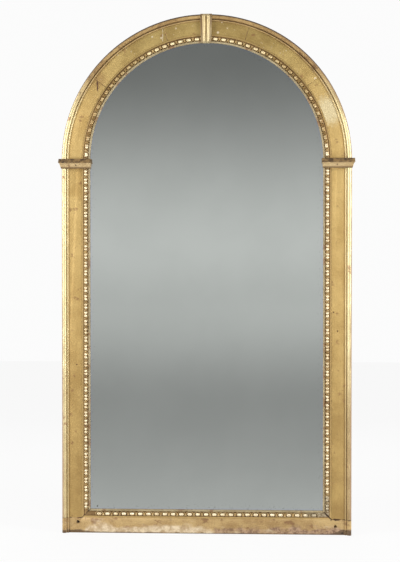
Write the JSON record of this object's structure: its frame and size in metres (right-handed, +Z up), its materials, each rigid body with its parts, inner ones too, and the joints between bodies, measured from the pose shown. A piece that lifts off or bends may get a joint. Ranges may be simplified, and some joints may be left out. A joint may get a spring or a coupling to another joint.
{
  "type": "arched pier mirror",
  "caption": "Tall giltwood wall mirror with a semicircular head, keystone, capitals, egg-and-dart sight moulding and swinging hanging rings behind.",
  "frame": {"origin": "centre of the bounding box in plan, at the bottom edge of the rail", "axes": "+Z up, -Y out of the glass towards the viewer, +Y into the wall, +X to the viewer's right"},
  "size_m": [0.908, 0.056, 1.5965],
  "materials": {
    "gilding": "water gilding over ochre bole and gesso, rubbed and toned",
    "carved_gilding": "burnished gilding over gesso, bright on the high parts",
    "worn_gilding": "gilding worn through to cream gesso and wood",
    "pine": "bare planed pine",
    "deal": "bare sawn deal, darkened with age",
    "silvered_glass": "silvered plate glass, slightly grey",
    "iron": "forged iron, brown with age"
  },
  "bodies": {
    "mirror_frame": {"right_stile": "gilding", "left_stile": "gilding", "bottom_rail": "worn_gilding", "arch_board_1": "gilding", "arch_board_2": "gilding", "arch_board_3": "gilding", "arch_board_4": "gilding", "arch_board_5": "gilding", "arch_tongue_1": "pine", "arch_tongue_2": "pine", "arch_tongue_3": "pine", "arch_tongue_4": "pine", "arch_tongue_5": "pine", "arch_tongue_6": "pine", "keystone": "carved_gilding", "right_capital": "gilding", "left_capital": "gilding", "right_capital_nail": "iron", "left_capital_nail": "iron", "right_stile_moulding": "carved_gilding", "left_stile_moulding": "carved_gilding", "right_rail_moulding": "worn_gilding", "left_rail_moulding": "worn_gilding", "right_arch_moulding": "carved_gilding", "left_arch_moulding": "carved_gilding", "right_sight_moulding": "carved_gilding", "left_sight_moulding": "carved_gilding", "right_arch_sight_moulding": "carved_gilding", "left_arch_sight_moulding": "carved_gilding", "bottom_sight_moulding": "worn_gilding", "mirror_plate": "silvered_glass", "glass_block_1": "pine", "glass_block_2": "pine", "glass_block_3": "pine", "glass_block_4": "pine", "glass_block_5": "pine", "glass_block_6": "pine", "glass_block_7": "pine", "glass_block_8": "pine", "glass_block_9": "pine", "glass_block_10": "pine", "glass_block_11": "pine", "glass_block_12": "pine", "backboard_1": "deal", "backboard_2": "deal", "backboard_3": "deal", "backboard_4": "deal", "backboard_5": "deal", "backboard_6": "deal", "backboard_7": "deal", "right_hanger_strap": "iron", "left_hanger_strap": "iron", "right_hanger_screw_1": "iron", "left_hanger_screw_1": "iron", "right_hanger_screw_2": "iron", "left_hanger_screw_2": "iron"},
    "right_ring": {"right_hanger_ring": "iron"},
    "left_ring": {"left_hanger_ring": "iron"}
  },
  "joints": [
    {"name": "right_ring_swing", "type": "hinge", "parent": "mirror_frame", "child": "right_ring", "pos_m": [0.4125, 0.0228, 1.045], "axis": [1, 0, 0], "range_deg": [0, 180]},
    {"name": "left_ring_swing", "type": "hinge", "parent": "mirror_frame", "child": "left_ring", "pos_m": [-0.4125, 0.0228, 1.045], "axis": [1, 0, 0], "range_deg": [0, 180]}
  ]
}
